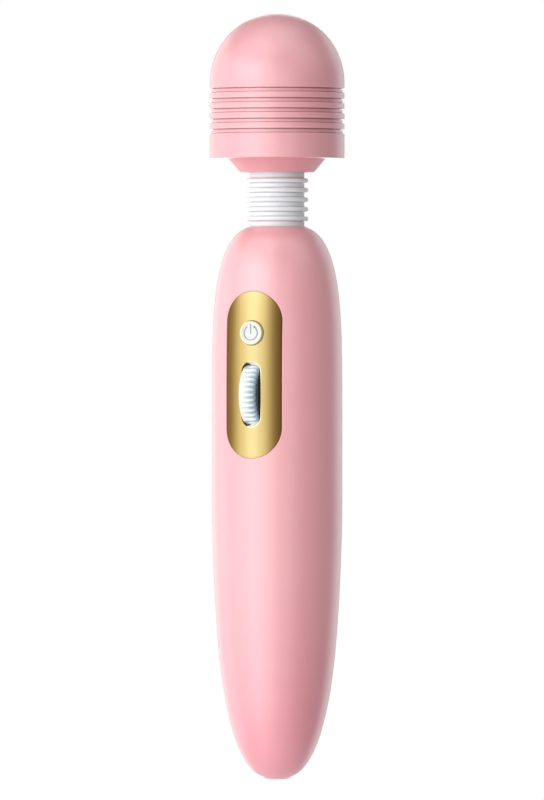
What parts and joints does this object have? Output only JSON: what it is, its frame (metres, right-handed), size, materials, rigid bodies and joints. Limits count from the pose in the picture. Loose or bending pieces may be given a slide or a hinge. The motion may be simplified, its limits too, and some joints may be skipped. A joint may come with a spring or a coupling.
{
  "type": "handheld wand massager",
  "caption": "Cordless wand massager: tapered silicone handle with gold control panel, push button and thumb wheel, ribbed flexible neck and domed motor head.",
  "frame": {"origin": "on the wand's axis at the base end of the handle", "axes": "+Z along the wand from the handle's base end to the top of the head; -Y is the way the control panel faces; +X completes the right-handed set"},
  "size_m": [0.0424, 0.0445, 0.24],
  "materials": {
    "pink_silicone": "soft satin silicone",
    "pink_plastic": "satin moulded plastic",
    "gold_trim": "satin gold anodised",
    "white_gloss": "glossy white plastic",
    "white_silicone": "soft white silicone",
    "casing_plastic": "plain moulded plastic",
    "black_plastic": "plain moulded plastic",
    "black_rubber": "matt rubber",
    "circuit_board": "solder mask",
    "aluminium_can": "plain can",
    "steel": "plain steel",
    "battery_wrap": "shrink sleeve over a metal can",
    "foam": "closed-cell foam",
    "lead_insulation": "soft wire insulation",
    "magnet": "dark sintered magnet",
    "bronze": "sintered bronze",
    "carbon": "pressed carbon",
    "copper": "bare copper"
  },
  "bodies": {
    "handle": {"handle_skin": "pink_silicone", "control_panel": "gold_trim", "front_shell": "casing_plastic", "rear_shell": "casing_plastic", "shell_screws": "steel", "main_board": "circuit_board", "board_screws": "steel", "control_chip": "black_plastic", "motor_driver_chip": "black_plastic", "capacitors": "aluminium_can", "charge_inductor": "black_plastic", "wire_connector": "casing_plastic", "wheel_bracket": "black_plastic", "speed_potentiometer": "steel", "power_switch": "black_plastic", "switch_board": "circuit_board", "switch_board_screws": "steel", "switch_leads": "lead_insulation", "battery_cell": "battery_wrap", "battery_tabs": "steel", "battery_pads": "foam", "battery_leads": "lead_insulation", "charge_socket": "black_plastic", "charge_leads": "lead_insulation", "neck_lower_anchor": "black_plastic"},
    "neck_middle": {"neck_sleeve": "white_silicone", "neck_spring": "steel", "motor_leads": "lead_insulation"},
    "head": {"head_cap": "pink_silicone", "head_core": "casing_plastic", "head_base": "pink_plastic", "neck_upper_anchor": "black_plastic", "motor_cradle": "black_plastic", "cradle_screws": "steel", "motor_pad": "black_rubber", "motor_sleeve": "black_rubber", "motor_can": "steel", "motor_end_cap": "black_plastic", "motor_magnets": "magnet", "motor_bushings": "bronze", "motor_brushes": "carbon"},
    "motor_rotor": {"motor_shaft": "steel", "rotor_stack": "steel", "rotor_windings": "copper", "commutator": "copper", "eccentric_weight": "bronze", "weight_set_screw": "steel"},
    "power_button": {"power_button": "white_gloss", "switch_plunger": "black_plastic"},
    "speed_wheel": {"speed_wheel": "white_gloss", "wheel_axle": "steel", "potentiometer_rotor": "casing_plastic"}
  },
  "joints": [
    {"name": "neck_pitch", "type": "hinge", "parent": "handle", "child": "neck_middle", "pos_m": [0, 0, 0.1766], "axis": [1, 0, 0], "range_deg": [-20, 20], "stiffness_Nm_per_rad": 2, "deforming": ["neck_sleeve", "neck_spring", "motor_leads"]},
    {"name": "neck_roll", "type": "hinge", "parent": "neck_middle", "child": "head", "pos_m": [0, 0, 0.185], "axis": [0, 1, 0], "range_deg": [-20, 20], "stiffness_Nm_per_rad": 2, "deforming": ["neck_sleeve", "neck_spring", "motor_leads"]},
    {"name": "motor_spin", "type": "hinge", "parent": "head", "child": "motor_rotor", "pos_m": [0, 0, 0.215], "axis": [0, 0, 1], "continuous": true},
    {"name": "button_press", "type": "slide", "parent": "handle", "child": "power_button", "axis": [0, 1, 0], "range_m": [0, 0.0005], "stiffness_N_per_m": 1500},
    {"name": "wheel_turn", "type": "hinge", "parent": "handle", "child": "speed_wheel", "pos_m": [0, -0.01226, 0.12034], "axis": [1, 0, 0], "range_deg": [0, 270]}
  ]
}
